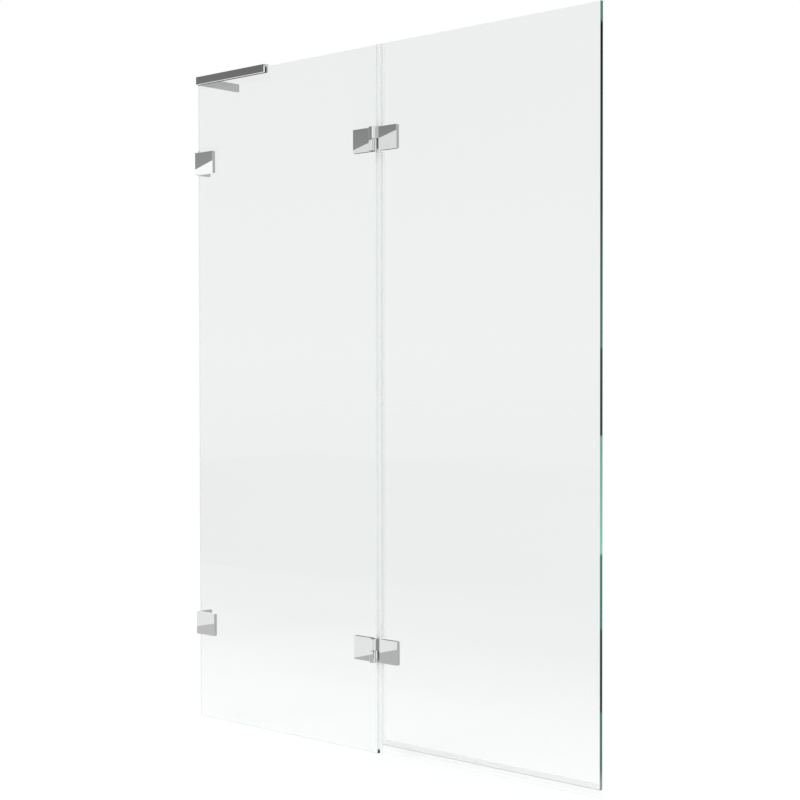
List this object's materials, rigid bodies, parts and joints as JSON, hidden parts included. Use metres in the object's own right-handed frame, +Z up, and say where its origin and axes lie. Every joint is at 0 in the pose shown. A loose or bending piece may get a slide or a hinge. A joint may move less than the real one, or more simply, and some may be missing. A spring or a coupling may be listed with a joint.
{
  "type": "bath screen",
  "caption": "Frameless bath screen: a fixed clear glass panel on wall brackets with a top brace, and a glass door on chrome glass-to-glass hinges that swings into the room.",
  "frame": {"origin": "where the wall plane, the middle plane of the glass and the bath rim under the fixed panel meet", "axes": "+X along the glass away from the wall, +Y from the room towards the bath, +Z up"},
  "size_m": [1.15, 0.149, 1.5045],
  "materials": {
    "clear_glass": "clear toughened float glass with ground, green-looking edges",
    "chrome": "polished chrome plate on brass",
    "steel": "plain stainless steel",
    "gasket": "pale grey elastomer sheet",
    "nylon": "natural white nylon",
    "liner": "black rubber strip",
    "clear_seal": "clear flexible vinyl, slightly milky"
  },
  "bodies": {
    "fixed_side": {"fixed_glass_panel": "clear_glass", "upper_wall_bracket_angle": "chrome", "upper_wall_bracket_front_plate": "chrome", "upper_wall_bracket_front_gasket": "gasket", "upper_wall_bracket_back_gasket": "gasket", "upper_hinge_fixed_leaf": "chrome", "upper_hinge_fixed_back_plate": "chrome", "upper_hinge_fixed_front_gasket": "gasket", "upper_hinge_fixed_back_gasket": "gasket", "upper_hinge_pin": "steel", "lower_wall_bracket_angle": "chrome", "lower_wall_bracket_front_plate": "chrome", "lower_wall_bracket_front_gasket": "gasket", "lower_wall_bracket_back_gasket": "gasket", "lower_hinge_fixed_leaf": "chrome", "lower_hinge_fixed_back_plate": "chrome", "lower_hinge_fixed_front_gasket": "gasket", "lower_hinge_fixed_back_gasket": "gasket", "lower_hinge_pin": "steel", "fixed_clamp_screws": "steel", "fixed_glass_sleeves": "nylon", "brace_channel": "chrome", "brace_wall_arm": "chrome", "brace_liner": "liner", "brace_corner_screws": "steel", "brace_grub_screws": "steel"},
    "door": {"door_glass_panel": "clear_glass", "upper_hinge_door_leaf": "chrome", "upper_hinge_door_back_plate": "chrome", "upper_hinge_door_front_gasket": "gasket", "upper_hinge_door_back_gasket": "gasket", "upper_hinge_bush": "nylon", "lower_hinge_door_leaf": "chrome", "lower_hinge_door_back_plate": "chrome", "lower_hinge_door_front_gasket": "gasket", "lower_hinge_door_back_gasket": "gasket", "lower_hinge_bush": "nylon", "door_clamp_screws": "steel", "door_glass_sleeves": "nylon", "upper_gap_seal": "clear_seal", "middle_gap_seal": "clear_seal", "lower_gap_seal": "clear_seal", "door_bottom_seal": "clear_seal"}
  },
  "joints": [
    {"name": "door_swing", "type": "hinge", "parent": "fixed_side", "child": "door", "pos_m": [0.5775, -0.0175, 0.76], "axis": [0, 0, -1], "range_deg": [0, 90]}
  ]
}
